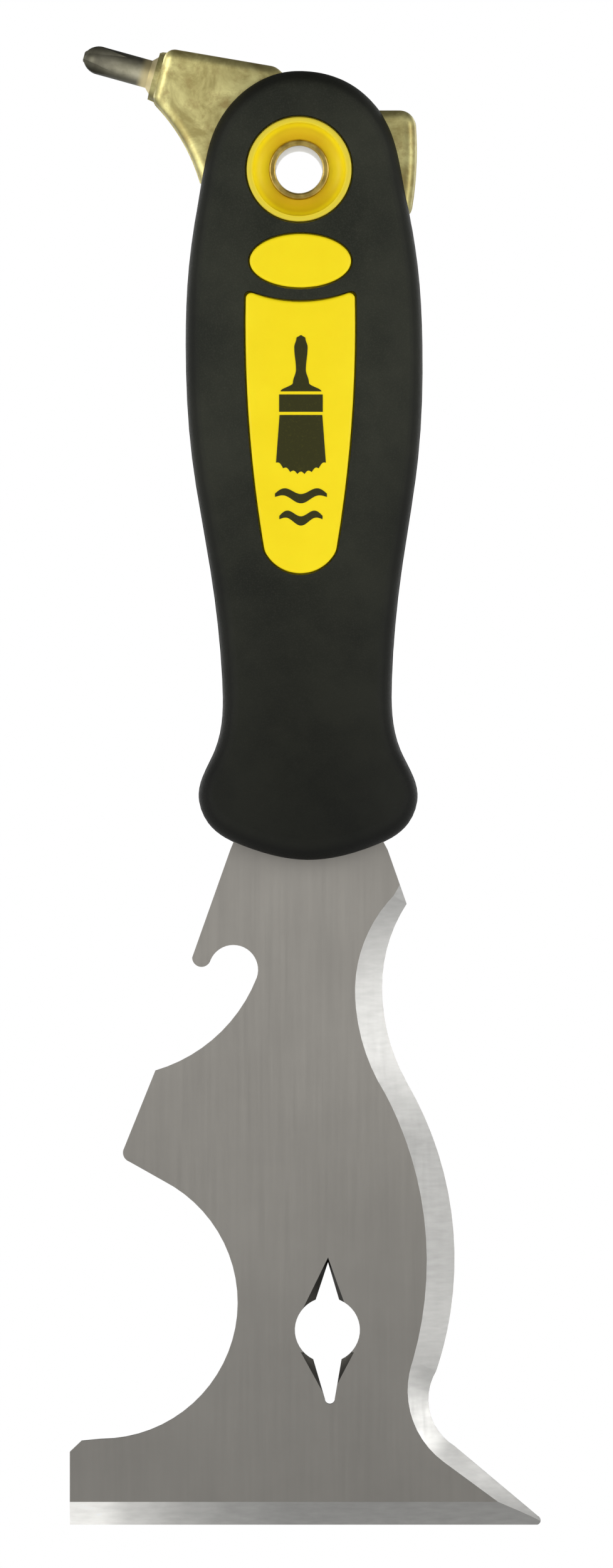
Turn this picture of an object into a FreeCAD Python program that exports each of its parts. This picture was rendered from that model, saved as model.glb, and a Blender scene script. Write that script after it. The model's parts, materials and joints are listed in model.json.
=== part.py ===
import FreeCAD, Part
import math
import os
import Sketcher

# Painter's multi tool: a steel scraper blade with a full tang, a two-part moulded core, a soft
# rubber grip, and a cast head across the top that is a hammer on one side and holds a
# screwdriver bit on the other.
# Frame: origin at the centre of the hanging hole, +X to the right, +Z up along the handle,
# front face towards -Y. Millimetres.

DOC = FreeCAD.newDocument("painters_multi_tool")
SHEET = DOC.addObject("Spreadsheet::Sheet", "Sizes")

# Driving dimensions: (alias, value, what it is)
CELLS = (
    ("blade_thickness", 2.0, "steel of the blade and its tang"),
    ("edge_level", -220.0, "height of the scraping edge"),
    ("edge_left", -37.3, "left end of the scraping edge"),
    ("edge_right", 39.4, "right end of the scraping edge"),
    ("edge_bevel_width", 3.8, "bevel of the scraping edge, on the front face"),
    ("hone_width", 0.7, "narrow steeper bevel at the scraping edge itself"),
    ("hone_depth", 0.3, "how much deeper the narrow bevel goes"),
    ("side_bevel_width", 4.2, "bevel of the right edge, on the front face"),
    ("bevel_depth", 1.5, "how far both bevels go into the thickness"),
    ("roller_radius", 22.2, "roller cleaning notch"),
    ("nail_hole_radius", 5.3, "round part of the nail puller hole"),
    ("upper_slot_half", 1.9, "half width of the pointed nail slot where it meets the hole"),
    ("lower_slot_half", 2.3, "half width of the blunt nail slot where it meets the hole"),
    ("upper_slot_reach", 11.0, "nail hole's centre to the tip of the pointed slot"),
    ("lower_slot_reach", 12.0, "nail hole's centre to the end of the blunt slot"),
    ("countersink_depth", 1.1, "countersink of the nail puller slots"),
    ("tang_half_width", 8.0, "half width of the tang inside the handle"),
    ("outline_depth", 40.0, "blank depth of the handle before its faces are cut"),
    ("crown_radius", 45.0, "roundness of the handle faces across their width"),
    ("crown_half_width", 26.0, "half width of the blank that the faces are cut from"),
    ("grip_edge_radius", 3.2, "rounding of the grip all round its outline"),
    ("grip_wall", 2.4, "rubber over the sides of the core"),
    ("grip_cover", 2.2, "rubber over the faces of the core"),
    ("island_proud", 0.3, "how far the core shows above the rubber"),
    ("island_gap", 0.3, "groove between the core and the edge of the rubber"),
    ("island_rounding", 0.4, "rounding of the raised parts of the core"),
    ("ring_radius", 8.5, "raised ring round the hanging hole"),
    ("oval_half_width", 8.2, "raised oval"),
    ("oval_half_height", 4.35, "raised oval"),
    ("oval_level", -14.85, "height of the oval's centre"),
    ("panel_top", -19.6, "height of the panel's upper corners"),
    ("panel_dip", 1.9, "how far the oval's curve dips into the panel's top"),
    ("panel_waist", -41.0, "height halfway down the panel"),
    ("panel_corner", -61.7, "height of the panel's lower corners"),
    ("panel_bottom", -65.4, "lowest point of the panel"),
    ("panel_top_half", 8.8, "half width of the panel at its top"),
    ("panel_waist_half", 8.3, "half width of the panel halfway down"),
    ("panel_corner_half", 5.8, "half width of the panel at its lower corners"),
    ("islands_middle", 0.2, "X of the middle of the oval and the panel"),
    ("panel_upper_radius", 0.9, "upper corners of the raised panel"),
    ("panel_lower_radius", 3.0, "lower corners of the raised panel"),
    ("head_thickness", 13.0, "casting, front to back"),
    ("head_corner_radius", 2.6, "corners of the casting's outline"),
    ("head_rounding", 1.6, "rounding of the casting's edges"),
    ("bit_tilt", 15.5, "rise of the bit above level, in degrees"),
    ("socket_flats", 6.45, "hexagonal socket across its flats"),
    ("socket_depth", 13.25, "hexagonal part of the socket"),
    ("mouth_length", 0.9, "conical mouth of the socket"),
    ("mouth_radius", 3.85, "outer end of the socket's mouth"),
    ("mouth_root", 1.2, "mouth carried back into the casting"),
    ("nose_radius", 4.2, "inner end of the socket's conical mouth"),
    ("nose_corner_radius", 1.8, "corners of the casting above and below the mouth"),
    ("nose_above", 4.65, "casting above the socket's axis, at the nose"),
    ("nose_below", 4.15, "casting below the socket's axis, at the nose"),
    ("bit_flats", 6.35, "quarter inch hexagon of the bit"),
    ("bit_length", 25.0, "screwdriver bit, end to end"),
    ("bit_shank", 13.15, "hexagonal part of the bit"),
    ("bit_nick", 0.5, "bevel at both ends of the bit's hexagon"),
    ("bit_shaft_radius", 2.3, "round part of the bit"),
    ("bit_tip_radius", 1.0, "blunt end of the bit"),
    ("bit_tip_length", 3.0, "tapered end of the bit"),
    ("flute_web", 0.45, "bit's axis to the root of a flute, at the tip"),
    ("flute_lean", 14.0, "how fast the flutes run out, in degrees"),
    ("flute_side", 3.0, "square cutter of the flutes"),
    ("flute_length", 8.0, "length of that cutter"),
    ("magnet_radius", 3.0, "magnet behind the bit"),
    ("magnet_length", 2.0, "magnet behind the bit"),
    ("hang_radius", 3.8, "hanging hole"),
    ("eyelet_radius", 4.4, "outside of the eyelet's tube"),
    ("flange_radius", 4.9, "eyelet's flange"),
    ("flange_thickness", 0.6, "eyelet's flange"),
    ("washer_radius", 6.2, "washer behind the eyelet"),
    ("washer_thickness", 0.7, "washer behind the eyelet"),
    ("dish_floor", 8.8, "floor of the ring's dish, from the blade's middle plane"),
    ("dish_radius", 7.6, "rim of the ring's dish"),
    ("dish_rise", 1.9, "floor of the dish to the start of its rim"),
    ("rivet_radius", 2.0, "shank of the tang rivets"),
    ("rivet_head_radius", 3.5, "heads of the tang rivets"),
    ("rivet_head_thickness", 1.2, "heads of the tang rivets"),
    ("rivet_half_length", 7.2, "middle plane to the top of a rivet head"),
    ("rivet_well_depth", 6.0, "moulded hollow over a rivet head"),
    ("rivet_clearance", 0.1, "core round the rivets"),
    ("rivet_level", -75.5, "height of the upper rivet"),
    ("rivet_pitch", 18.0, "upper rivet to lower rivet"),
    ("pin_radius", 1.5, "cross pin through the casting and the tang"),
    ("pin_inset", 0.3, "casting's face to the end of the cross pin"),
)

for row, (alias, value, note) in enumerate(CELLS, start=1):
    SHEET.set("A%d" % row, alias)
    SHEET.set("B%d" % row, str(value))
    SHEET.set("C%d" % row, note)
    SHEET.setAlias("B%d" % row, alias)
DOC.recompute()

FRONT_TO_BACK = FreeCAD.Vector(0, 1, 0)
SAME = 1e-4

# The handle leans a little to the right as it goes down from the hanging hole.
HANDLE_LEAN = 0.009
HANDLE_CENTRE = 0.55
HANDLE_TOP = 16.1
HANDLE_BOTTOM = -111.8

# Half widths of the handle, (height, half width), from the top to the bottom.
HANDLE_WIDTHS = (
    (12.9, 9.4),
    (6.8, 14.2),
    (-1.5, 16.35),
    (-15.2, 18.5),
    (-28.1, 19.15),
    (-46.4, 18.3),
    (-64.8, 15.45),
    (-82.5, 13.7),
    (-94.0, 15.0),
    (-101.1, 17.7),
    (-105.8, 16.2),
    (-109.7, 10.1),
)

# Half thicknesses of the handle along its middle, (height, half thickness).
HANDLE_DEPTHS = (
    (20.0, 10.0),
    (0.0, 10.8),
    (-28.0, 12.3),
    (-56.0, 11.2),
    (-84.0, 9.8),
    (-103.0, 11.5),
    (-118.0, 11.2),
)


def size(alias):
    """The value of a driving dimension."""
    return float(SHEET.get(alias))


def bind(item, prop, expression):
    """Bind a property to the sheet: every name in braces is an alias."""
    item.setExpression(prop, expression.replace("{", "Sizes.").replace("}", ""))


def flat(point):
    """A point of a sketch."""
    return FreeCAD.Vector(point[0], point[1], 0)


# ---------------------------------------------------------------- sketches and features

def new_body(label):
    body = DOC.addObject("PartDesign::Body", label)
    body.Label = label
    return body


def new_sketch(body, label, role):
    """A sketch on one of the body's own origin planes."""
    sketch = body.newObject("Sketcher::SketchObject", label)
    plane = [item for item in body.Origin.OriginFeatures if item.Role == role][0]
    sketch.AttachmentSupport = [(plane, "")]
    sketch.MapMode = "FlatFace"
    return sketch


def draw(sketch, start, steps):
    """A closed outline. A step of one point is a line, a step of two is an arc through the first."""
    here = flat(start)
    for step in steps + ((start,),):
        there = flat(step[-1])
        if here.distanceToPoint(there) < SAME:
            continue
        if len(step) == 1:
            sketch.addGeometry(Part.LineSegment(here, there), False)
        else:
            sketch.addGeometry(Part.Arc(here, flat(step[0]), there), False)
        here = there


def draw_circle(sketch, centre, radius_expression, radius):
    """A circle whose radius follows the sheet."""
    index = sketch.addGeometry(Part.Circle(flat(centre), FreeCAD.Vector(0, 0, 1), radius), False)
    constraint = sketch.addConstraint(Sketcher.Constraint("Radius", index, radius))
    bind(sketch, "Constraints[%d]" % constraint, radius_expression)


def pad(body, sketch, label, length):
    """A pad, equal on both sides of the sketch."""
    feature = body.newObject("PartDesign::Pad", label)
    feature.Profile = sketch
    feature.SideType = "Symmetric"
    bind(feature, "Length", length)
    return feature


def pocket_through(body, sketch, label):
    """A pocket through the whole body, both ways from the sketch."""
    feature = body.newObject("PartDesign::Pocket", label)
    feature.Profile = sketch
    feature.SideType = "Symmetric"
    feature.Type = "ThroughAll"
    return feature


def revolve(body, sketch, label):
    """A full turn about the sketch's vertical axis."""
    feature = body.newObject("PartDesign::Revolution", label)
    feature.Profile = sketch
    feature.ReferenceAxis = (sketch, ["V_Axis"])
    feature.Angle = 360
    return feature


def edge_names(shape, wanted):
    """Names of the edges for which wanted(edge) is true."""
    return ["Edge%d" % number for number, edge in enumerate(shape.Edges, 1) if wanted(edge)]


def fillet(body, base, label, wanted, radius):
    feature = body.newObject("PartDesign::Fillet", label)
    feature.Base = (base, edge_names(base.Shape, wanted))
    bind(feature, "Radius", radius)
    return feature


def cylinder(label, radius, length, place):
    item = DOC.addObject("Part::Cylinder", label)
    bind(item, "Radius", radius)
    bind(item, "Height", length)
    item.Placement = place
    return item


def cut(label, base, tool):
    item = DOC.addObject("Part::Cut", label)
    item.Base = base
    item.Tool = tool
    return item


def common(label, first, second):
    item = DOC.addObject("Part::Common", label)
    item.Base = first
    item.Tool = second
    return item


def fuse(label, items):
    item = DOC.addObject("Part::MultiFuse", label)
    item.Shapes = items
    return item


def along(point, direction):
    """A placement whose Z axis points along the direction."""
    return FreeCAD.Placement(point, FreeCAD.Rotation(FreeCAD.Vector(0, 0, 1), direction))


# ---------------------------------------------------------------- blade

ROLLER_CENTRE = (-32.2, -183.8)
SPUR_CENTRE = (-10.7, -129.7)
NAIL_HOLE_CENTRE = (4.6, -188.3)

# The sharpened right side, from the corner under the handle down to the scraping edge:
# its start, then arcs (middle, end), and a straight run at the end.
SIDE_START = (17.5, -119.0)
SIDE_ARCS = (
    ((14.5, -125.5), (13.5, -132.6)),
    ((14.5, -140.5), (17.5, -148.0)),
    ((25.0, -171.0), (22.3, -195.0)),
    ((21.4, -202.1), (25.3, -207.2)),
)
SIDE_END = (38.9, -218.6)

# The share of the side bevel's full width at the start, at each of those points and at the end.
SIDE_BEVEL_SHARES = (0.60, 0.90, 1.05, 1.03, 0.94, 1.08, 1.00, 0.72, 0.73, 0.46)


def blade_outline(sketch):
    """Clockwise from the left end of the scraping edge."""
    left = size("edge_left")
    right = size("edge_right")
    edge = size("edge_level")
    tang = size("tang_half_width")
    roller_x, roller_z = ROLLER_CENTRE
    roller = size("roller_radius")
    spur_x, spur_z = SPUR_CENTRE
    draw(sketch, (left, edge), (
        # left side, its clipped corner and the roller notch
        ((left, edge + 11.9),),
        ((left + 1.9, edge + 13.7),),
        ((roller_x, roller_z - roller),),
        ((roller_x + roller, roller_z), (-22.1, -164.0)),
        # the pointed side and the curve up to the spur notch
        ((-27.6, -160.9),),
        ((-28.5, -160.1), (-28.6, -159.0)),
        ((-23.4, -146.1),),
        ((-12.9, -140.0), (spur_x + 3.8, spur_z - 1.3)),
        ((spur_x + 0.5, spur_z + 4.0), (-14.4, -128.1)),
        ((-16.2, -129.2), (-17.4, -127.7)),
        # shoulder and tang
        ((-11.2, -110.2),),
        ((-tang + 0.8, -100.5),),
        ((-tang, 0.0),),
        ((0.0, tang), (tang, 0.0)),
        ((tang + 1.2, -100.5),),
        ((14.4, -110.2),),
        # right side, down to the sharp corner
        (SIDE_START,),
    ) + SIDE_ARCS + (
        (SIDE_END,),
        ((right - 0.1, edge + 0.6), (right - 0.6, edge)),
    ))


def nail_hole_outline(sketch):
    """A round hole with a pointed slot above it and a blunt one below."""
    x, z = NAIL_HOLE_CENTRE
    radius = size("nail_hole_radius")
    upper = size("upper_slot_half")
    lower = size("lower_slot_half")
    upper_z = z + math.sqrt(radius ** 2 - upper ** 2)
    lower_z = z - math.sqrt(radius ** 2 - lower ** 2)
    lower_end = z - size("lower_slot_reach")
    blunt = 0.8
    draw(sketch, (x - upper, upper_z), (
        ((x + 0.1, z + size("upper_slot_reach")),),
        ((x + upper, upper_z),),
        ((x + radius, z), (x + lower, lower_z)),
        ((x + 0.4 + blunt, lower_end + blunt),),
        ((x + 0.4, lower_end), (x + 0.4 - blunt, lower_end + blunt)),
        ((x - lower, lower_z),),
        ((x - radius, z), (x - upper, upper_z)),
    ))


def side_normals():
    """Points down the right side, each with the direction into the steel."""
    points = [SIDE_START]
    normals = []
    here = SIDE_START
    for middle, end in SIDE_ARCS:
        circle = Part.Arc(flat(here), flat(middle), flat(end)).toShape().Curve
        spokes = [flat(point) - circle.Center for point in (here, middle, end)]
        inward = -1 if spokes[1].x > 0 else 1
        spokes = [spoke.normalize() * inward for spoke in spokes]
        if normals:
            normals[-1] = (normals[-1] + spokes[0]).normalize()
        else:
            normals.append(spokes[0])
        normals += spokes[1:]
        points += [middle, end]
        here = end
    run = (flat(SIDE_END) - flat(here)).normalize()
    across = FreeCAD.Vector(run.y, -run.x, 0)
    normals[-1] = (normals[-1] + across).normalize()
    points.append(SIDE_END)
    normals.append(across)
    return [flat(point) for point in points], normals


def side_bevel_section(body, number, level):
    """What the side bevel takes away, at a level below the front face."""
    share_left = 1 - level / size("bevel_depth")
    sketch = new_sketch(body, "side_bevel_section_%d" % number, "XZ_Plane")
    lift = size("blade_thickness") / 2 - level
    sketch.AttachmentOffset = FreeCAD.Placement(FreeCAD.Vector(0, 0, lift), FreeCAD.Rotation())
    points, normals = side_normals()
    moved = [
        point + normal * size("side_bevel_width") * share * share_left
        for point, normal, share in zip(points, normals, SIDE_BEVEL_SHARES)
    ]
    run_out = 8.0
    clear_x = 60.0
    above = moved[0] + FreeCAD.Vector(4.5, run_out, 0)
    below = moved[-1] + (moved[-1] - moved[-2]).normalize() * run_out
    steps = [((moved[0].x, moved[0].y),)]
    for middle, end in zip(moved[1:-1:2], moved[2:-1:2]):
        steps.append(((middle.x, middle.y), (end.x, end.y)))
    steps += [((below.x, below.y),), ((clear_x, below.y),), ((clear_x, above.y),)]
    draw(sketch, (above.x, above.y), tuple(steps))
    return sketch


def countersink(body, label, half, left, right, reach):
    """A sloping three-sided cut along a nail slot: as wide as the slot inside, wider in front.

    half is the slot's half width at the hole, and left and right are the countersink's on the front
    face; reach is signed, up or down to the slot's tip."""
    x, z = NAIL_HOLE_CENTRE
    front = size("blade_thickness") / 2
    overlap = 0.05
    deep = ((x - half, z + 0.4 * reach), (x + 0.1, z + reach), (x + half, z + 0.4 * reach))
    shallow = ((x - left, z + 0.33 * reach), (x + 0.1, z + 1.08 * reach), (x + right, z + 0.33 * reach))
    sections = []
    for points, level in ((shallow, front + overlap), (deep, front - size("countersink_depth"))):
        sketch = new_sketch(body, "%s_section_%d" % (label, len(sections)), "XZ_Plane")
        sketch.AttachmentOffset = FreeCAD.Placement(FreeCAD.Vector(0, 0, level), FreeCAD.Rotation())
        draw(sketch, points[0], tuple((point,) for point in points[1:]))
        sections.append(sketch)
    loft = body.newObject("PartDesign::SubtractiveLoft", label)
    loft.Profile = sections[0]
    loft.Sections = sections[1:]
    loft.Ruled = True


def edge_wedge(body, label, edge, width, end, depth):
    """A bevel along the scraping edge: it ends at Y end on the edge, and rises towards the front."""
    slope = width / depth
    reach = 3.0
    sketch = new_sketch(body, label + "_section", "YZ_Plane")
    draw(sketch, (end - reach, edge + reach * slope), (
        ((end + reach / slope, edge - reach),),
        ((end - reach, edge - reach),),
    ))
    pocket_through(body, sketch, label)


def make_blade():
    body = new_body("blade")
    outline = new_sketch(body, "blade_outline", "XZ_Plane")
    blade_outline(outline)
    plate = pad(body, outline, "blade_plate", "{blade_thickness}")
    DOC.recompute()
    front = -size("blade_thickness") / 2

    side = body.newObject("PartDesign::SubtractiveLoft", "side_bevel")
    above_face = 0.5
    below_bevel = 0.3
    levels = (-above_face, size("bevel_depth") + below_bevel)
    sections = [side_bevel_section(body, number, level) for number, level in enumerate(levels)]
    side.Profile = sections[0]
    side.Sections = sections[1:]
    side.Ruled = True

    edge = size("edge_level")
    depth = size("bevel_depth")
    edge_wedge(body, "edge_bevel", edge, size("edge_bevel_width"), front + depth, depth)
    edge_wedge(body, "edge_hone", edge, size("hone_width"), front + depth + size("hone_depth"),
               size("hone_depth") + depth * size("hone_width") / size("edge_bevel_width"))

    nail = new_sketch(body, "nail_hole_outline", "XZ_Plane")
    nail_hole_outline(nail)
    pocket_through(body, nail, "nail_hole")
    narrow = 1.2
    wide = 2.1
    upper = size("upper_slot_half")
    lower = size("lower_slot_half")
    countersink(body, "upper_countersink", upper, upper + wide, upper + narrow, size("upper_slot_reach"))
    countersink(body, "lower_countersink", lower, lower + wide, lower + wide,
                1.2 - size("lower_slot_reach"))

    holes = new_sketch(body, "tang_holes", "XZ_Plane")
    draw_circle(holes, (0, 0), "{eyelet_radius}", size("eyelet_radius"))
    draw_circle(holes, PIN_PLACE, "{pin_radius}", size("pin_radius"))
    for place in rivet_places():
        draw_circle(holes, place, "{rivet_radius}", size("rivet_radius"))
    pocket_through(body, holes, "tang_hole_cut")
    DOC.recompute()
    return body


# ---------------------------------------------------------------- fasteners inside the handle

PIN_PLACE = (5.0, -6.0)


def handle_middle(level):
    """The X of the handle's middle line at a height."""
    return HANDLE_CENTRE - HANDLE_LEAN * min(level, 0)


def rivet_places():
    levels = (size("rivet_level"), size("rivet_level") - size("rivet_pitch"))
    return [(handle_middle(level), level) for level in levels]


def make_head_pin():
    half = size("head_thickness") / 2 - size("pin_inset")
    place = along(FreeCAD.Vector(PIN_PLACE[0], -half, PIN_PLACE[1]), FRONT_TO_BACK)
    return cylinder("head_pin", "{pin_radius}", "{head_thickness} - 2 * {pin_inset}", place)


def make_tang_rivets():
    """Two headed rivets, one above the other."""
    half = size("rivet_half_length")
    head = size("rivet_head_thickness")
    rivets = []
    for number, (x, z) in enumerate(rivet_places(), start=1):
        shank = cylinder("rivet_shank_%d" % number, "{rivet_radius}", "2 * {rivet_half_length}",
                         along(FreeCAD.Vector(x, -half, z), FRONT_TO_BACK))
        heads = [
            cylinder("rivet_head_%d_%d" % (number, place), "{rivet_head_radius}",
                     "{rivet_head_thickness}", along(FreeCAD.Vector(x, y, z), FRONT_TO_BACK))
            for place, y in enumerate((-half, half - head), start=1)
        ]
        rivets.append(fuse("rivet_%d" % number, [shank] + heads))
    group = DOC.addObject("Part::Compound", "tang_rivets")
    group.Links = rivets
    return group


def make_eyelet():
    """A tube with a flange in front, and its other end rolled over a washer."""
    inner = size("hang_radius")
    outer = size("eyelet_radius")
    flange = size("flange_radius")
    thick = size("flange_thickness")
    floor = size("dish_floor")
    washer = floor + size("washer_thickness")
    bend = 0.35
    round_off = bend * (1 - math.sqrt(0.5))
    body = new_body("hang_eyelet")
    section = new_sketch(body, "eyelet_section", "XY_Plane")
    draw(section, (inner, -floor - thick + bend), (
        ((inner + round_off, -floor - thick + round_off), (inner + bend, -floor - thick)),
        ((flange - bend, -floor - thick),),
        ((flange - round_off, -floor - thick + round_off), (flange, -floor - thick + bend)),
        ((flange, -floor),),
        ((outer, -floor),),
        ((outer, washer),),
        ((flange, washer),),
        ((flange, washer + thick - bend),),
        ((flange - round_off, washer + thick - round_off), (flange - bend, washer + thick)),
        ((inner + bend, washer + thick),),
        ((inner + round_off, washer + thick - round_off), (inner, washer + thick - bend)),
    ))
    revolve(body, section, "eyelet_turn")
    return body


def make_washer():
    body = new_body("eyelet_washer")
    floor = size("dish_floor")
    thick = size("washer_thickness")
    outer = size("washer_radius")
    bevel = 0.2
    section = new_sketch(body, "washer_section", "XY_Plane")
    draw(section, (size("eyelet_radius"), floor), (
        ((outer, floor),),
        ((outer, floor + thick - bevel),),
        ((outer - bevel, floor + thick),),
        ((size("eyelet_radius"), floor + thick),),
    ))
    revolve(body, section, "washer_turn")
    return body


# ---------------------------------------------------------------- cast head and its bit

NOSE = FreeCAD.Vector(-22.75, 0, 15.45)


def bit_direction():
    """The way the bit points and comes out."""
    tilt = math.radians(size("bit_tilt"))
    return FreeCAD.Vector(-math.cos(tilt), 0, math.sin(tilt))


def on_bit_axis(distance):
    """A point on the bit's axis, counted outwards from the socket's mouth."""
    return NOSE + bit_direction() * (size("mouth_length") + distance)


def hexagon(label, flats, length, place):
    """A hexagonal prism with two flats level across the width of the tool."""
    item = DOC.addObject("Part::Prism", label)
    item.Polygon = 6
    bind(item, "Circumradius", "%s / sqrt(3)" % flats)
    bind(item, "Height", length)
    item.Placement = place
    return item


def make_head(blade):
    ahead = bit_direction()
    across = FreeCAD.Vector(ahead.z, 0, -ahead.x)
    top = NOSE + across * size("nose_above")
    bottom = NOSE - across * size("nose_below")
    body = new_body("head_casting")
    outline = new_sketch(body, "head_outline", "XZ_Plane")
    draw(outline, (top.x, top.z), (
        # over the top to the hammer face
        ((-3.8, 16.9),),
        ((2.5, 11.1),),
        ((12.5, 9.8),),
        ((18.7, 9.8),),
        ((19.0, 1.7), (17.9, -7.9)),
        # back under the handle to the nose
        ((-13.5, -7.9),),
        ((-15.8, -2.5),),
        ((-19.3, 5.7), (bottom.x, bottom.z)),
    ))
    block = pad(body, outline, "head_block", "{head_thickness}")
    DOC.recompute()
    face = size("head_thickness") / 2

    def on_nose(edge):
        return edge.BoundBox.YLength > face and edge.CenterOfMass.x < NOSE.x + 6

    def on_corners(edge):
        return edge.BoundBox.YLength > face and edge.CenterOfMass.x > NOSE.x + 6

    nose = fillet(body, block, "nose_corners", on_nose, "{nose_corner_radius}")
    DOC.recompute()
    corners = fillet(body, nose, "head_corners", on_corners, "{head_corner_radius}")
    DOC.recompute()

    def on_faces(edge):
        box = edge.BoundBox
        return box.YLength < SAME and abs(abs(box.YMin) - face) < SAME

    fillet(body, corners, "head_rounding", on_faces, "{head_rounding}")

    mouth = DOC.addObject("Part::Cone", "socket_mouth")
    bind(mouth, "Radius1", "{nose_radius}")
    bind(mouth, "Radius2", "{mouth_radius}")
    bind(mouth, "Height", "{mouth_length} + {mouth_root}")
    mouth.Placement = along(NOSE - ahead * size("mouth_root"), ahead)
    socket = hexagon("hex_socket", "{socket_flats}", "{socket_depth} + 1",
                     along(on_bit_axis(-size("socket_depth")), ahead))
    seat = cylinder("magnet_seat", "{magnet_radius}", "{magnet_length} + 1",
                    along(on_bit_axis(-size("socket_depth") - size("magnet_length")), ahead))
    bore = cylinder("head_bore", "{eyelet_radius}", "{head_thickness} + 2",
                    along(FreeCAD.Vector(0, -face - 1, 0), FRONT_TO_BACK))
    pin_hole = cylinder("head_pin_hole", "{pin_radius}", "{head_thickness} + 2",
                        along(FreeCAD.Vector(PIN_PLACE[0], -face - 1, PIN_PLACE[1]), FRONT_TO_BACK))
    solid = fuse("head_with_mouth", [body, mouth])
    holes = fuse("head_holes", [socket, seat, bore, pin_hole, blade])
    return cut("hammer_head", solid, holes)


def make_magnet():
    return cylinder("bit_magnet", "{magnet_radius}", "{magnet_length}",
                    along(on_bit_axis(-size("socket_depth") - size("magnet_length")), bit_direction()))


def make_flute(quarter):
    """What one flute takes away: a square bar, one of its edges towards the bit's axis."""
    start_above = 0.6
    flute = DOC.addObject("Part::Box", "flute_%d" % (quarter + 1))
    bind(flute, "Length", "{flute_side}")
    bind(flute, "Width", "{flute_side}")
    bind(flute, "Height", "{flute_length}")
    edge_on = FreeCAD.Rotation(FreeCAD.Vector(0, 0, 1), -45)
    lean = FreeCAD.Rotation(FreeCAD.Vector(0, 1, 0), -size("flute_lean"))
    turn = FreeCAD.Rotation(FreeCAD.Vector(0, 0, 1), 45 + 90 * quarter)
    down = FreeCAD.Rotation(FreeCAD.Vector(1, 0, 0), 180)
    start = turn.multVec(FreeCAD.Vector(size("flute_web"), 0, size("bit_length") + start_above))
    flute.Placement = FreeCAD.Placement(start, turn * lean * down * edge_on)
    return flute


def make_bit():
    """A cross-head insert bit: hexagonal shank, sloping shoulder, round shaft, fluted tip."""
    shank = size("bit_shank")
    shaft = size("bit_shaft_radius")
    tip = size("bit_tip_radius")
    taper = size("bit_tip_length")
    length = size("bit_length")
    corner = size("bit_flats") / math.sqrt(3)
    nick = size("bit_nick")
    blunt = 0.3
    body = new_body("bit_turned")
    profile = new_sketch(body, "bit_profile", "XZ_Plane")
    draw(profile, (0, 0), (
        ((corner - nick, 0),),
        ((corner + nick, 2 * nick),),
        ((corner + nick, shank - 2 * nick),),
        ((shaft, shank - nick + corner - shaft),),
        ((shaft, length - taper),),
        ((shaft - 0.25, length - taper / 2), (tip, length - blunt)),
        ((tip - 0.2, length - 0.07), (tip - 0.5, length)),
        ((0, length),),
    ))
    revolve(body, profile, "bit_turning")
    hexagonal = hexagon("bit_hexagon", "{bit_flats}", "{bit_shank} + 1", FreeCAD.Placement())
    round_part = cylinder("bit_round", "{bit_shaft_radius} + 0.01", "{bit_length}", FreeCAD.Placement())
    stock = common("bit_stock", body, fuse("bit_envelope", [hexagonal, round_part]))
    bit = cut("screwdriver_bit", stock, fuse("bit_flutes", [make_flute(quarter) for quarter in range(4)]))
    bit.Placement = along(on_bit_axis(-shank), bit_direction())
    return bit


# ---------------------------------------------------------------- handle

def handle_side(side, inset):
    """Points down one side of the handle, moved in by the inset."""
    top = HANDLE_TOP - inset
    bottom = HANDLE_BOTTOM + inset
    line = [(0.0, HANDLE_TOP)] + [(half, level) for level, half in HANDLE_WIDTHS]
    line.append((0.0, HANDLE_BOTTOM))
    points = [FreeCAD.Vector(HANDLE_CENTRE, top, 0)]
    for before, here, after in zip(line, line[1:], line[2:]):
        run = after[0] - before[0]
        fall = after[1] - before[1]
        reach = math.hypot(run, fall)
        half = here[0] + inset * fall / reach
        level = here[1] - inset * run / reach
        points.append(FreeCAD.Vector(handle_middle(level) + side * half, level, 0))
    points.append(FreeCAD.Vector(handle_middle(bottom), bottom, 0))
    return points


def handle_outline(sketch, inset):
    """One smooth closed curve: down the left side and back up the right."""
    left = handle_side(-1, inset)
    right = handle_side(1, inset)
    curve = Part.BSplineCurve()
    curve.interpolate(Points=left + right[-2:0:-1], PeriodicFlag=True)
    sketch.addGeometry(curve, False)


def crowned_blank(label, inset):
    """The handle's two crowned faces, wider than its outline."""
    reach = size("crown_half_width")
    drop = reach ** 2 / (2 * size("crown_radius"))
    sections = []
    for number, (level, half) in enumerate(HANDLE_DEPTHS, start=1):
        sketch = DOC.addObject("Sketcher::SketchObject", "%s_section_%d" % (label, number))
        sketch.Placement = FreeCAD.Placement(FreeCAD.Vector(0, 0, level), FreeCAD.Rotation())
        middle = half - inset
        side = middle - drop
        draw(sketch, (-reach, -side), (
            ((0, -middle), (reach, -side)),
            ((reach, side),),
            ((0, middle), (-reach, side)),
        ))
        sections.append(sketch)
    loft = DOC.addObject("Part::Loft", label)
    loft.Sections = sections
    loft.Solid = True
    return loft


def handle_solid(label, side_inset, face_inset):
    """The handle's shape, with its sides and its faces moved in by the two insets."""
    body = new_body(label + "_outline")
    sketch = new_sketch(body, label + "_sketch", "XZ_Plane")
    handle_outline(sketch, side_inset)
    pad(body, sketch, label + "_block", "{outline_depth}")
    return common(label, body, crowned_blank(label + "_blank", face_inset))


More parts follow.
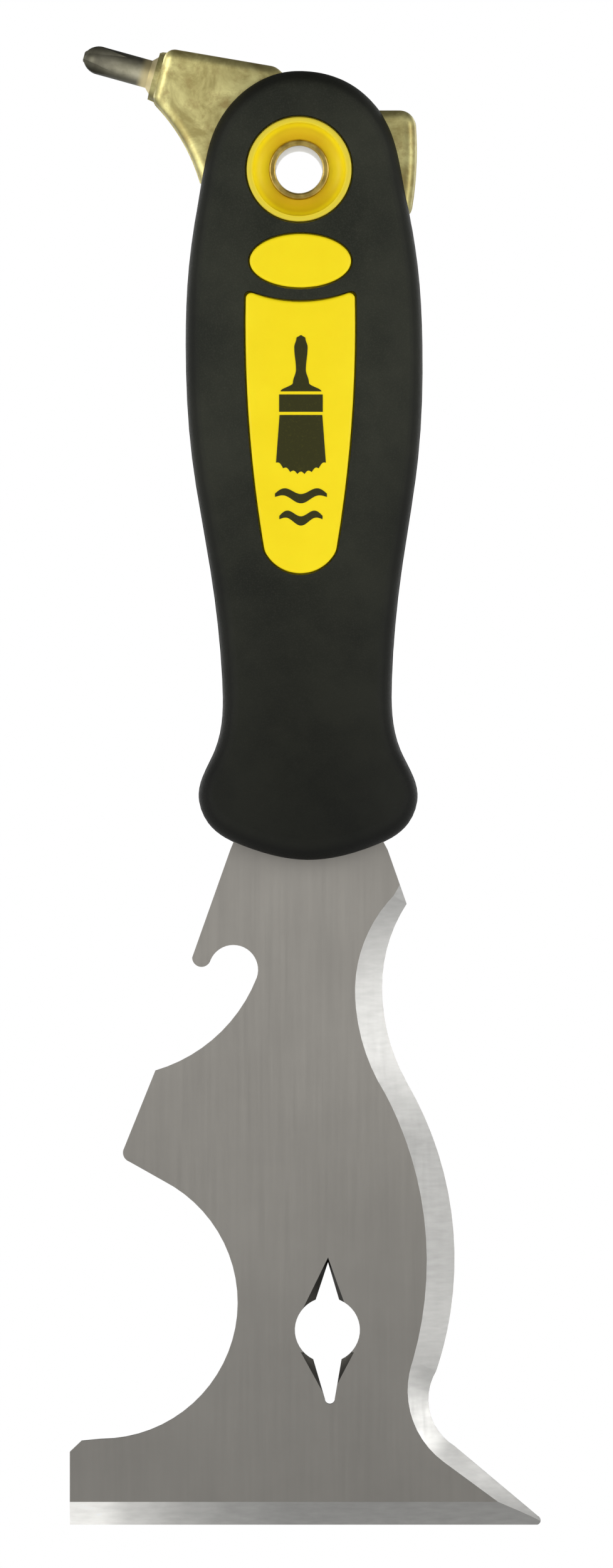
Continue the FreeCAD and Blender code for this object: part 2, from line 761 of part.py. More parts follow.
def islands_outline(sketch, grow):
    """Ring, oval and panel: what of the core shows through the rubber."""
    draw_circle(sketch, (0, 0), "{ring_radius} + %g" % grow, size("ring_radius") + grow)
    wide = size("oval_half_width") + grow
    high = size("oval_half_height") + grow
    middle = size("islands_middle")
    centre = FreeCAD.Vector(middle, size("oval_level"), 0)
    sketch.addGeometry(Part.Ellipse(centre + FreeCAD.Vector(wide, 0, 0),
                                    centre + FreeCAD.Vector(0, high, 0), centre), False)
    top = size("panel_top") + grow
    waist = size("panel_waist")
    corner = size("panel_corner")
    bottom = size("panel_bottom") - grow
    top_half = size("panel_top_half") + grow
    waist_half = size("panel_waist_half") + grow
    corner_half = size("panel_corner_half") + grow
    draw(sketch, (middle - top_half, top), (
        ((middle, top - size("panel_dip")), (middle + top_half, top)),
        ((middle + waist_half, waist), (middle + corner_half, corner)),
        ((middle, bottom), (middle - corner_half, corner)),
        ((middle - waist_half, waist), (middle - top_half, top)),
    ))


def islands(label, grow):
    """The raised shapes as blocks through the whole handle."""
    body = new_body(label)
    sketch = new_sketch(body, label + "_sketch", "XZ_Plane")
    islands_outline(sketch, grow)
    block = pad(body, sketch, label + "_pad", "{outline_depth}")
    block.AllowMultiFace = True
    DOC.recompute()

    def corners_at(level):
        """Picks the edges that run front to back at a height."""
        return lambda edge: (edge.BoundBox.YLength > size("outline_depth") / 2
                             and abs(edge.CenterOfMass.z - level) < 0.1)

    upper = fillet(body, block, label + "_upper_corners", corners_at(size("panel_top") + grow),
                   "{panel_upper_radius}")
    DOC.recompute()
    fillet(body, upper, label + "_lower_corners", corners_at(size("panel_corner")), "{panel_lower_radius}")
    return body


def dish(label):
    """The hollow inside the raised ring, front and back, and the bore between them."""
    floor = size("dish_floor")
    rim = size("dish_radius")
    bore = size("eyelet_radius")
    rise = size("dish_rise")
    far = size("outline_depth") / 2
    flare = 0.4
    seat = size("washer_radius") + 0.2
    body = new_body(label)
    section = new_sketch(body, label + "_section", "XY_Plane")
    draw(section, (0, -far), (
        # front: a bowl down to the eyelet's flange
        ((rim + flare, -far),),
        ((rim, -floor - rise),),
        ((rim - 0.7, -floor - 0.55), (size("flange_radius") + 0.3, -floor)),
        ((bore, -floor),),
        # rear: flat under the washer
        ((bore, floor),),
        ((seat, floor),),
        ((seat + 0.8, floor + 0.7), (rim, floor + rise)),
        ((rim + flare, far),),
        ((0, far),),
    ))
    revolve(body, section, label + "_turn")
    return body


def rounded(label, base, wanted, radius):
    """The base with the wanted edges rounded."""
    DOC.recompute()
    item = DOC.addObject("Part::Fillet", label)
    item.Base = base
    item.Edges = [
        (number, radius, radius) for number, edge in enumerate(base.Shape.Edges, 1) if wanted(edge)
    ]
    return item


def rivet_hollows():
    """Holes through the core for the rivets, and round hollows in its faces over their heads."""
    half = size("rivet_half_length")
    head_base = half - size("rivet_head_thickness")
    hollows = []
    for number, (x, z) in enumerate(rivet_places(), start=1):
        hollows.append(cylinder("rivet_hole_%d" % number, "{rivet_radius} + {rivet_clearance}",
                                "2 * {rivet_half_length}",
                                along(FreeCAD.Vector(x, -half, z), FRONT_TO_BACK)))
        for side, way in (("front", -1), ("rear", 1)):
            hollows.append(cylinder("rivet_well_%d_%s" % (number, side),
                                    "{rivet_head_radius} + {rivet_clearance}", "{rivet_well_depth}",
                                    along(FreeCAD.Vector(x, way * head_base, z), FRONT_TO_BACK * way)))
    return hollows


def make_core(base, head, blade):
    """Front and rear halves of the core, closed round the tang and the casting."""
    faces = handle_solid("raised_faces", 0.0, -size("island_proud"))
    raised = common("raised_islands", islands("core_islands", 0.0), faces)
    depth = size("outline_depth")

    def round_the_top(edge):
        return edge.BoundBox.YLength < depth / 10

    top_edge = rounded("core_raised", raised, round_the_top, size("island_rounding"))
    whole = fuse("core_whole", [base, top_edge])
    hollows = fuse("core_hollows", [dish("core_dish"), head, blade] + rivet_hollows())
    shell = cut("core_shell", whole, hollows)
    halves = []
    length = HANDLE_TOP - HANDLE_BOTTOM
    for label, start in (("core_front", -depth), ("core_rear", 0.0)):
        side = DOC.addObject("Part::Box", label + "_side")
        side.Length = length
        side.Width = depth
        side.Height = length
        side.Placement.Base = FreeCAD.Vector(-length / 2, start, HANDLE_BOTTOM)
        halves.append(common(label, shell, side))
    return halves


def make_grip(core_base, head, blade):
    """The rubber over the core, open over its raised parts and round the casting."""
    outer = handle_solid("grip_shape", 0.0, 0.0)
    height = HANDLE_TOP - HANDLE_BOTTOM

    def down_the_sides(edge):
        return edge.BoundBox.ZLength > height / 3

    soft = rounded("grip_rounded", outer, down_the_sides, size("grip_edge_radius"))
    windows = islands("grip_windows", size("island_gap"))
    return cut("rubber_grip", soft, fuse("grip_hollows", [core_base, windows, head, blade]))


# ---------------------------------------------------------------- assembly and output

SMALLEST_CUT = 0.05

BLADE = make_blade()
HEAD = make_head(BLADE)
HEAD_SOLID = DOC.getObject("head_with_mouth")
CORE_BASE = handle_solid("core_base", size("grip_wall"), size("grip_cover"))
PIECES = [
    BLADE,
    HEAD,
    make_head_pin(),
    make_tang_rivets(),
    make_eyelet(),
    make_washer(),
    make_bit(),
    make_magnet(),
    make_grip(CORE_BASE, HEAD_SOLID, BLADE),
]
PIECES += make_core(CORE_BASE, HEAD_SOLID, BLADE)
DOC.recompute()

for item in DOC.Objects:
    if "Invalid" in item.State or "Error" in item.State:
        raise RuntimeError("%s did not compute: %s" % (item.Label, item.State))
    before = None
    if item.TypeId in ("PartDesign::Pocket", "PartDesign::SubtractiveLoft"):
        before = item.BaseFeature.Shape.Volume
    elif item.TypeId == "Part::Cut":
        before = item.Base.Shape.Volume
    if before is not None and item.Shape.Volume > before - SMALLEST_CUT:
        raise RuntimeError("%s cuts nothing away" % item.Label)

os.makedirs("parts", exist_ok=True)
for piece in PIECES:
    shape = piece.Shape
    if shape.isNull() or not shape.isValid() or shape.Volume <= 0:
        raise RuntimeError("%s has no good shape" % piece.Label)
    shape.exportStep("parts/%s.step" % piece.Label)
    box = shape.BoundBox
    print("%-16s solids %d  volume %8.1f  x %.1f..%.1f  y %.1f..%.1f  z %.1f..%.1f" % (
        piece.Label, len(shape.Solids), shape.Volume,
        box.XMin, box.XMax, box.YMin, box.YMax, box.ZMin, box.ZMax))
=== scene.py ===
"""Looks of the painter's multi tool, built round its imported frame. Metres, front face towards -Y."""

import json
import math

import bmesh
import bpy
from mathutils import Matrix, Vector
from mathutils.bvhtree import BVHTree


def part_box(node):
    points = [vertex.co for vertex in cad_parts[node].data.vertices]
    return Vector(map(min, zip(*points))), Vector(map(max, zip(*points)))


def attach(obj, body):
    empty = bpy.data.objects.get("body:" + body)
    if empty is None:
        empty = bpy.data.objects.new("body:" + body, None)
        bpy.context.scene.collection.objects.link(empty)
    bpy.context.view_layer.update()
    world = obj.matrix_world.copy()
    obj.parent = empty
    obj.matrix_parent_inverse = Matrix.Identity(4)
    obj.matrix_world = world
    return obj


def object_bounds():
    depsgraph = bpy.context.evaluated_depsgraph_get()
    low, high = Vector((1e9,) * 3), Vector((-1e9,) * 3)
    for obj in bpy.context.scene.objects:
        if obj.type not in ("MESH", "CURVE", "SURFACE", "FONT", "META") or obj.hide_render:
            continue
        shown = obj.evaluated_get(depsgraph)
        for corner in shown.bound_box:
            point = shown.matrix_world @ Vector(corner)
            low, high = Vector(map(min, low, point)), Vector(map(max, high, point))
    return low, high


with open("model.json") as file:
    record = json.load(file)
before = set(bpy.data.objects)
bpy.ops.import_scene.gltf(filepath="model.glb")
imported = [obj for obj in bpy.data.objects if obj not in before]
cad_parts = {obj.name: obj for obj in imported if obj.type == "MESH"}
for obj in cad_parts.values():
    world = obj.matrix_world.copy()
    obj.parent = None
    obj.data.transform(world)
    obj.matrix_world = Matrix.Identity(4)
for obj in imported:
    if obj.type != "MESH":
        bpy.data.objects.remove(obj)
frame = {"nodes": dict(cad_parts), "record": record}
CAD_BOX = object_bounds()

MM = 0.001
BACKWARD = Vector((0, 1, 0))


def record_row(rows, name):
    """The record's row of that name."""
    return next(row for row in rows if row["name"] == name)


# ------------------------------------------------------------------ places on the tool

# the blade: how high its two bevels go above the scraping edge
BLADE_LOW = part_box("blade")[0]
EDGE_BEVEL = 7 * MM
SIDE_BEVEL = 102 * MM

# the nail puller: the middle of its hole, and how far its two slots go from there
NAIL_LOW, NAIL_HIGH = record_row(frame["record"]["physics"]["openings"], "nail_hole")["box_m"]
NAIL_HOLE = (Vector(NAIL_LOW) + Vector(NAIL_HIGH)) / 2
NAIL_SLOTS_HALF_WIDTH = 5.5 * MM
NAIL_SLOTS_HALF_HEIGHT = 13.5 * MM

# the grip: its middle, across, and the radius of its rounded ends
GRIP_LOW, GRIP_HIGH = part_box("rubber_grip")
GRIP_MIDDLE = 1 * MM
GRIP_END_RADIUS = 16 * MM

# the core and the eyelet: the inner and outer radius of the painted shade in the ring's hollow, and of
# its rim
PANEL_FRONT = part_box("core_front")[0].y
HOLLOW_SHADE_SPAN = (4.5 * MM, 9.5 * MM)
RING_RIM = (7.4 * MM, 10.0 * MM)
EYELET_BORE = record_row(frame["record"]["mounts"], "hang_hole")["dims"]["r_mm"] * MM

# the head and the bit: the bit's two places are distances along its axis from the socket's mouth
HAMMER_END = 16.5 * MM
SOCKET = record_row(frame["record"]["mounts"], "bit_socket")
MOUTH = Vector(SOCKET["pos_m"])
BIT_WAY = Vector(SOCKET["axis"])
BIT_SIDE = BIT_WAY.cross(BACKWARD)
BIT_END = 11.3 * MM
BIT_SHOULDER = 1.3 * MM


# ------------------------------------------------------------------ node helpers

class Graph:
    """A node tree under construction. Values may be numbers or sockets."""

    def __init__(self, tree):
        self.tree = tree
        self.nodes = tree.nodes
        self.coords = self.nodes.new("ShaderNodeTexCoord")

    def link(self, source, target):
        self.tree.links.new(source, target)

    def put(self, value, socket):
        """A number sets the socket, a colour sets it too, and another socket is linked to it."""
        if isinstance(value, (int, float)):
            socket.default_value = value
        elif isinstance(value, tuple):
            socket.default_value = (*value, 1.0)
        else:
            self.link(value, socket)

    def span(self, value, low, high, out_low=0.0, out_high=1.0, smooth=False):
        """Maps a value from one range to another, without going past it."""
        node = self.nodes.new("ShaderNodeMapRange")
        node.interpolation_type = "SMOOTHSTEP" if smooth else "LINEAR"
        for name, number in zip(("From Min", "From Max", "To Min", "To Max"),
                                (low, high, out_low, out_high)):
            node.inputs[name].default_value = number
        self.link(value, node.inputs["Value"])
        return node.outputs["Result"]

    def math(self, kind, first, second=0.0):
        """One calculation with two values, or with the first alone."""
        node = self.nodes.new("ShaderNodeMath")
        node.operation = kind
        self.put(first, node.inputs[0])
        self.put(second, node.inputs[1])
        return node.outputs[0]

    def times(self, first, second):
        """The product of two values."""
        return self.math("MULTIPLY", first, second)

    def parts(self, vector):
        """The X, Y and Z of a vector."""
        node = self.nodes.new("ShaderNodeSeparateXYZ")
        self.link(vector, node.inputs[0])
        return tuple(node.outputs)

    def part(self, vector, axis):
        """One part, 0 to 2 for X to Z, of a vector."""
        return self.parts(vector)[axis]

    def size_of(self, vector, axis):
        """One part of a vector without its sign."""
        return self.math("ABSOLUTE", self.part(vector, axis))

    def steps(self, value, stops):
        """A smooth curve of numbers through (place, height) stops; places run from 0 to 1."""
        node = self.nodes.new("ShaderNodeValToRGB")
        node.color_ramp.interpolation = "EASE"
        ends = node.color_ramp.elements
        ends[0].position, ends[1].position = stops[0][0], stops[-1][0]
        for place, _ in stops[1:-1]:
            ends.new(place)
        for element, (_, height) in zip(ends, stops):
            element.color = (height, height, height, 1)
        self.link(value, node.inputs["Fac"])
        return node.outputs["Color"]


class Shader(Graph):
    """A material under construction: one Principled shader and the nodes that feed it."""

    def __init__(self, name):
        self.material = bpy.data.materials.new(name)
        self.material.use_nodes = True
        super().__init__(self.material.node_tree)
        self.surface = self.nodes["Principled BSDF"]
        self.object = self.coords.outputs["Object"]
        self.facing = self.coords.outputs["Normal"]

    def set(self, **values):
        """Constant values on the shader's own sockets; an underscore stands for a space."""
        for name, value in values.items():
            self.surface.inputs[name.replace("_", " ")].default_value = value

    def stretched(self, scale, turn=(0, 0, 0)):
        """Object coordinates, stretched and turned."""
        node = self.nodes.new("ShaderNodeMapping")
        node.inputs["Scale"].default_value = scale
        node.inputs["Rotation"].default_value = turn
        self.link(self.object, node.inputs["Vector"])
        return node.outputs["Vector"]

    def radius(self):
        """Distance from the axis of the hanging hole."""
        across, _, level = self.parts(self.object)
        square = self.math("ADD", self.times(across, across), self.times(level, level))
        return self.math("SQRT", square)

    def along(self, start, way):
        """How far a point of the object lies from the start, measured along the way."""
        node = self.nodes.new("ShaderNodeVectorMath")
        node.operation = "DOT_PRODUCT"
        node.inputs[1].default_value = way
        self.link(self.object, node.inputs[0])
        return self.math("SUBTRACT", node.outputs["Value"], start.dot(way))

    def noise(self, scale, detail=3.0, rough=0.5, vector=None, distortion=0.0):
        """Noise over the object; most of its values lie between 0.3 and 0.7."""
        node = self.nodes.new("ShaderNodeTexNoise")
        for name, number in (("Scale", scale), ("Detail", detail), ("Roughness", rough),
                             ("Distortion", distortion)):
            node.inputs[name].default_value = number
        self.link(vector or self.object, node.inputs["Vector"])
        return node.outputs["Fac"]

    def cells(self, scale):
        """Pits of a spark-eroded surface: the distance to the nearest of many points."""
        node = self.nodes.new("ShaderNodeTexVoronoi")
        node.inputs["Scale"].default_value = scale
        self.link(self.object, node.inputs["Vector"])
        return node.outputs["Distance"]

    def wear(self):
        """Stains from 0 to 1, and fine scratches, for small metal pieces."""
        stains = self.span(self.noise(700, detail=4, rough=0.6), 0.3, 0.7)
        return stains, self.noise(2600, detail=2, vector=self.stretched((1.0, 0.05, 1.0)))

    def mix(self, share, first, second, kind="MIX"):
        """A colour between two colours or sockets."""
        node = self.nodes.new("ShaderNodeMix")
        node.data_type = "RGBA"
        node.blend_type = kind
        self.put(share, node.inputs["Factor"])
        self.put(first, node.inputs["A"])
        self.put(second, node.inputs["B"])
        return node.outputs["Result"]

    def blend(self, value, low, high, first, second):
        """The first colour where the value is low, the second where it is high."""
        return self.mix(self.span(value, low, high), first, second)

    def shade(self, colour, level):
        """A colour made darker or lighter by a level, 1 for no change."""
        return self.mix(1.0, colour, level, kind="MULTIPLY")

    def shade_by(self, colour, value, low, high, at_low, at_high, smooth=False):
        """A colour shaded by one level where the value is low and by another where it is high."""
        return self.shade(colour, self.span(value, low, high, at_low, at_high, smooth=smooth))

    def bump(self, height, distance, strength=1.0, under=None):
        """A bumped normal, laid over the bumps given as under."""
        node = self.nodes.new("ShaderNodeBump")
        node.inputs["Distance"].default_value = distance
        node.inputs["Strength"].default_value = strength
        self.link(height, node.inputs["Height"])
        if under is not None:
            self.link(under, node.inputs["Normal"])
        return node.outputs["Normal"]

    def finish(self, colour, roughness, normal):
        """Links what varies over the surface, and gives back the material."""
        self.link(colour, self.surface.inputs["Base Color"])
        self.link(roughness, self.surface.inputs["Roughness"])
        self.link(normal, self.surface.inputs["Normal"])
        return self.material


# ------------------------------------------------------------------ materials

def blade_steel():
    """Satin rolled steel, ground on the bevels, with painted reflections on them and painted shade in
    the nail slots.
    """
    shader = Shader("blade_steel")
    shader.set(Metallic=1.0)
    across, _, level = shader.parts(shader.object)
    above_edge = shader.math("SUBTRACT", level, BLADE_LOW.z)
    facing_out = shader.size_of(shader.facing, 1)
    blotches = shader.noise(48, detail=5, rough=0.6)
    streaks = shader.noise(1500, detail=2, vector=shader.stretched((1.0, 1.0, 0.04)))
    grinding = shader.noise(1300, detail=3, vector=shader.stretched((0.25, 0.25, 1.0)))

    # flat faces: a little lighter towards the handle
    height = shader.span(above_edge, 5 * MM, 105 * MM, smooth=True)
    tone = shader.mix(height, (0.268, 0.257, 0.236), (0.385, 0.366, 0.334))
    tone = shader.shade_by(tone, blotches, 0.3, 0.7, 0.95, 1.05)
    tone = shader.shade_by(tone, streaks, 0.25, 0.75, 0.97, 1.03)

    # bevels: painted reflections, the side one painted bright in two stretches, the bottom one painted
    # bright only at its left end
    side_painted_reflection = shader.steps(shader.span(above_edge, 0.0, SIDE_BEVEL), (
        (0.0, 0.68), (0.08, 0.84), (0.13, 0.74), (0.16, 0.42), (0.19, 0.38), (0.30, 0.47),
        (0.45, 0.36), (0.60, 0.33), (0.75, 0.53), (0.85, 0.50), (0.93, 0.45), (1.0, 0.42)))
    left_painted_highlight = shader.steps(shader.span(across, BLADE_LOW.x, 0.0), (
        (0.0, 1.0), (0.12, 1.0), (0.28, 0.69), (0.52, 0.49), (0.72, 0.39), (1.0, 0.33)))
    bottom = shader.times(shader.span(shader.part(shader.facing, 2), -0.2, -0.28),
                          shader.span(above_edge, EDGE_BEVEL + 0.5 * MM, EDGE_BEVEL - 0.5 * MM))
    # the ground bevels' own colour, with the painted reflections laid over it
    ground = shader.shade((0.98, 0.972, 0.94), shader.mix(bottom, side_painted_reflection, left_painted_highlight))
    ground = shader.shade_by(ground, grinding, 0.3, 0.7, 0.93, 1.06)
    bevel = shader.times(shader.span(facing_out, 0.985, 0.972), shader.span(facing_out, 0.25, 0.45))
    tone = shader.mix(bevel, tone, ground)

    # countersunk sides of the nail puller's slots: painted shade, nearly black
    beside = shader.math("ABSOLUTE", shader.math("SUBTRACT", across, NAIL_HOLE.x))
    above = shader.math("ABSOLUTE", shader.math("SUBTRACT", level, NAIL_HOLE.z))
    near = shader.times(
        shader.span(beside, NAIL_SLOTS_HALF_WIDTH + 0.5 * MM, NAIL_SLOTS_HALF_WIDTH),
        shader.span(above, NAIL_SLOTS_HALF_HEIGHT + 1.0 * MM, NAIL_SLOTS_HALF_HEIGHT))
    slot_painted_shade = shader.times(near, shader.span(facing_out, 0.97, 0.90))
    tone = shader.mix(slot_painted_shade, tone, (0.05, 0.048, 0.042))

    # the plate's own thickness, sheared
    sheared = shader.span(facing_out, 0.45, 0.25)
    tone = shader.shade(tone, shader.mix(sheared, (1, 1, 1), (0.62, 0.61, 0.58)))

    rough = shader.math("ADD", shader.span(streaks, 0.25, 0.75, 0.40, 0.47),
                        shader.times(sheared, 0.15))
    rolled = shader.bump(streaks, 0.01 * MM, 0.25)
    return shader.finish(tone, rough,
                         shader.bump(shader.times(grinding, bevel), 0.02 * MM, 0.4, under=rolled))


def soft_rubber():
    """Black moulded rubber with a fine spark-eroded texture, with painted shade on its sides, lighter
    from its foot to its middle.
    """
    shader = Shader("soft_rubber")
    shader.set(Specular_IOR_Level=0.16)
    patches = shader.noise(70, detail=4, rough=0.6)
    grain = shader.noise(4200, detail=2, rough=0.6)
    tone = shader.blend(patches, 0.35, 0.65, (0.0050, 0.0058, 0.0036), (0.0105, 0.0113, 0.0074))
    tone = shader.mix(shader.span(grain, 0.45, 0.75, 0.0, 0.35), tone, (0.022, 0.022, 0.017))
    # painted shade on its sides; greyer from its foot to its middle, darker again over its top
    tone = shader.shade_by(tone, shader.size_of(shader.facing, 1), 0.80, 0.97, 0.45, 1.0)
    level = shader.part(shader.object, 2)
    tone = shader.shade_by(tone, level, GRIP_LOW.z + 2 * MM, -35 * MM, 0.75, 2.5)
    tone = shader.shade_by(tone, level, 2 * MM, GRIP_HIGH.z + 2 * MM, 1.0, 0.7)
    waves = shader.bump(patches, 0.1 * MM, 0.15)
    texture = shader.bump(grain, 0.05 * MM, 0.45, under=waves)
    return shader.finish(tone, shader.span(grain, 0.3, 0.7, 0.55, 0.72),
                         shader.bump(shader.cells(3000), 0.03 * MM, 0.25, under=texture))


def yellow_plastic():
    """Satin yellow polypropylene, slightly uneven, with painted shade in the ring's hollow, and duller
    on its rim.
    """
    shader = Shader("yellow_plastic")
    shader.set(Specular_IOR_Level=0.16, Coat_Weight=0.03, Coat_Roughness=0.3,
               Subsurface_Weight=0.06, Subsurface_Scale=2 * MM)
    patches = shader.noise(90, detail=4, rough=0.55)
    grain = shader.noise(3600, detail=2)
    tone = shader.blend(patches, 0.3, 0.7, (0.91, 0.700, 0.006), (0.96, 0.755, 0.010))

    # painted shade in the ring's hollow, darkest above and below the hole
    radius = shader.radius()
    hollow_painted_shade = shader.steps(shader.span(radius, *HOLLOW_SHADE_SPAN), (
        (0.0, 0.9), (0.18, 1.0), (0.42, 0.75), (0.56, 0.0), (0.74, 0.0), (0.80, 0.35), (0.86, 0.0)))
    upright = shader.math("DIVIDE", shader.size_of(shader.object, 2), radius)
    hollow_painted_shade = shader.times(hollow_painted_shade, shader.span(upright, 0.2, 0.85, 0.25, 1.0))
    tone = shader.mix(hollow_painted_shade, tone, (0.66, 0.42, 0.003))

    inside, outside = RING_RIM
    rim = shader.times(shader.span(radius, inside, inside + 0.5 * MM),
                       shader.span(radius, outside, outside - 0.5 * MM))
    tone = shader.mix(shader.times(rim, 0.8), tone, (0.70, 0.57, 0.055))
    soft = shader.bump(patches, 0.08 * MM, 0.12)
    return shader.finish(tone, shader.span(grain, 0.3, 0.7, 0.38, 0.5),
                         shader.bump(grain, 0.02 * MM, 0.3, under=soft))


def cast_brass():
    """Brass plate over a casting: mottled and tarnished, with painted shade at its ends, towards the
    grip and below the socket, and a rough skin.
    """
    shader = Shader("cast_brass")
    shader.set(Metallic=1.0)
    clouds = shader.noise(190, detail=5, rough=0.65, distortion=0.6)
    stains = shader.noise(420, detail=4, rough=0.7)
    skin = shader.noise(2000, detail=3, rough=0.6)
    tone = shader.blend(clouds, 0.36, 0.64, (0.45, 0.38, 0.145), (0.80, 0.74, 0.335))
    tone = shader.mix(shader.span(stains, 0.52, 0.72, 0.0, 0.7), tone, (0.42, 0.31, 0.12))

    # painted shade at both ends, and painted shade towards the grip with painted light away from it
    across = shader.part(shader.object, 0)
    end_painted_shade = shader.span(across, HAMMER_END, HAMMER_END + 1.5 * MM, 1.0, 0.66, smooth=True)
    nose_painted_shade = shader.span(across, MOUTH.x, MOUTH.x + 2 * MM, 0.58, 1.0, smooth=True)
    grip_painted_shade = shader.span(across, -16 * MM, -7 * MM, 1.12, 0.80)
    tone = shader.shade(tone, shader.times(shader.times(end_painted_shade, nose_painted_shade), grip_painted_shade))

    # painted shade: the rounded edge below the socket is painted nearly black
    underside_painted_shade = shader.times(shader.span(across, -8 * MM, -12 * MM),
                             shader.span(shader.part(shader.facing, 2), -0.02, -0.12))
    edge = shader.span(shader.size_of(shader.facing, 1), 0.75, 0.50, 0.0, 0.5)
    tone = shader.mix(shader.times(underside_painted_shade, edge), tone, (0.05, 0.045, 0.015))
    rough_skin = shader.bump(skin, 0.04 * MM, 0.3)
    return shader.finish(tone, shader.span(clouds, 0.3, 0.7, 0.40, 0.52),
                         shader.bump(clouds, 0.2 * MM, 0.2, under=rough_skin))


def bit_steel():
    """Dark hardened steel, turned, with painted shade above, below and at its tip, and a painted
    reflection of the brass just beyond the socket.
    """
    shader = Shader("bit_steel")
    shader.set(Metallic=1.0)
    along_bit = shader.stretched((1.0, 0.15, 0.15), turn=(0, -0.27, 0))
    turned = shader.noise(900, detail=2, vector=along_bit)
    stains = shader.noise(300, detail=4, rough=0.6)
    tone = shader.blend(stains, 0.35, 0.65, (0.38, 0.36, 0.26), (0.60, 0.57, 0.43))
    beyond_mouth = shader.along(MOUTH, BIT_WAY)
    off_axis = shader.math("ABSOLUTE", shader.along(MOUTH, BIT_SIDE))
    # painted shade along its upper and lower sides, which leaves a painted highlight down its middle,
    # and painted shade towards its tip
    tone = shader.shade_by(tone, off_axis, 0.5 * MM, 2.0 * MM, 1.05, 0.25, smooth=True)
    tone = shader.shade_by(tone, beyond_mouth, BIT_END, 2.5 * MM, 0.24, 1.05, smooth=True)
    # painted reflection of the brass nose, just beyond the socket's mouth
    brass_painted_reflection = shader.times(
        shader.span(beyond_mouth, BIT_SHOULDER + 1.4 * MM, BIT_SHOULDER, smooth=True),
        shader.span(beyond_mouth, -1.0 * MM, -0.3 * MM))
    tone = shader.mix(brass_painted_reflection, tone, (0.66, 0.57, 0.32))
    return shader.finish(tone, shader.span(stains, 0.3, 0.7, 0.44, 0.54),
                         shader.bump(turned, 0.01 * MM, 0.3))


def plated_metal(name, dark, light, rough):
    """Small rolled or plated metal pieces."""
    shader = Shader(name)
    shader.set(Metallic=1.0)
    stains, scratches = shader.wear()
    return shader.finish(shader.mix(stains, dark, light),
                         shader.span(stains, 0.0, 1.0, rough - 0.06, rough + 0.08),
                         shader.bump(scratches, 0.02 * MM, 0.4))


def eyelet_metal():
    """Tarnished brass outside, worn bright where the hook rubs inside the tube."""
    shader = Shader("eyelet_brass")
    shader.set(Metallic=1.0)
    stains, scratches = shader.wear()
    tarnished = shader.mix(stains, (0.30, 0.20, 0.04), (0.52, 0.39, 0.11))
    worn = shader.span(shader.radius(), EYELET_BORE + 0.12 * MM, EYELET_BORE + 0.05 * MM)
    tone = shader.mix(worn, tarnished, (0.95, 0.93, 0.86))
    return shader.finish(tone, shader.span(stains, 0.0, 1.0, 0.32, 0.46),
                         shader.bump(scratches, 0.02 * MM, 0.4))


def dark_ink():
    """Screen-printed ink, nearly black with a green cast."""
    shader = Shader("dark_ink")
    shader.set(Specular_IOR_Level=0.15)
    pinholes = shader.noise(3000, detail=3, rough=0.6)
    worn = shader.span(pinholes, 0.55, 0.75, 0.0, 0.4)
    tone = shader.mix(worn, (0.032, 0.031, 0.006), (0.085, 0.078, 0.010))
    return shader.finish(tone, shader.span(pinholes, 0.3, 0.7, 0.42, 0.55),
                         shader.bump(pinholes, 0.01 * MM, 0.3))


RUBBER = soft_rubber()
YELLOW = yellow_plastic()
BRASS = cast_brass()
EYELET = eyelet_metal()
ZINC = plated_metal("zinc_plate", (0.42, 0.42, 0.42), (0.58, 0.58, 0.57), 0.36)
NICKEL = plated_metal("nickel_plate", (0.52, 0.51, 0.49), (0.66, 0.65, 0.62), 0.24)
INK = dark_ink()

NODE_MATERIALS = {
    "blade": blade_steel(),
    "core_front": YELLOW,
    "core_rear": YELLOW,
    "rubber_grip": RUBBER,
    "hammer_head": BRASS,
    "screwdriver_bit": bit_steel(),
    "bit_magnet": NICKEL,
    "head_pin": ZINC,
    "tang_rivets": ZINC,
    "hang_eyelet": EYELET,
    "eyelet_washer": EYELET,
}

for name, material in NODE_MATERIALS.items():
    mesh = frame["nodes"][name].data
    mesh.materials.clear()
    mesh.materials.append(material)


# ------------------------------------------------------------------ added pieces

# the parting lines: points are at least a step apart, and shorter runs of points are left out
HEAD_LINE_RADIUS = 0.16 * MM
GRIP_LINE_RADIUS = 0.13 * MM
LINE_STEP = 0.15 * MM
LINE_POINTS = 4
PROBE_START = 0.2 * MM

# the print lies across the panel's middle, one thickness of ink in front of it
PRINT_MIDDLE = 0.3 * MM
INK_THICKNESS = 0.03 * MM
INK_COLUMNS = 10

# the brush's (level, half width) rows are in brush widths, above its foot
BRUSH_WIDTH = 7.2 * MM
BRUSH_FOOT = -49.4 * MM
BRUSH_HANDLE = ((3.12, 0.02), (3.06, 0.10), (2.85, 0.15), (2.35, 0.11), (2.05, 0.18), (1.86, 0.46))
BRUSH_FERRULE = ((1.79, 0.49), (1.60, 0.49), (1.40, 0.49))
BRUSH_TUFTS = 7

# the two wavy strokes below the brush; each has its own length and level
WAVE_HEIGHT = 0.55 * MM
WAVE_THICKNESS = 1.5 * MM
WAVE_TURNS = 1.5
WAVES = ((8.4 * MM, -52.8 * MM), (7.0 * MM, -56.4 * MM))


def new_piece(name, mesh, material):
    """A piece that moves with the tool and takes the given finish."""
    piece = bpy.data.objects.new(name, mesh)
    bpy.context.scene.collection.objects.link(piece)
    mesh.materials.append(material)
    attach(piece, "tool")


def surface_of(node):
    """The node's triangles, ready to be hit by rays."""
    shape = bmesh.new()
    shape.from_mesh(frame["nodes"][node].data)
    tree = BVHTree.FromBMesh(shape)
    shape.free()
    return tree


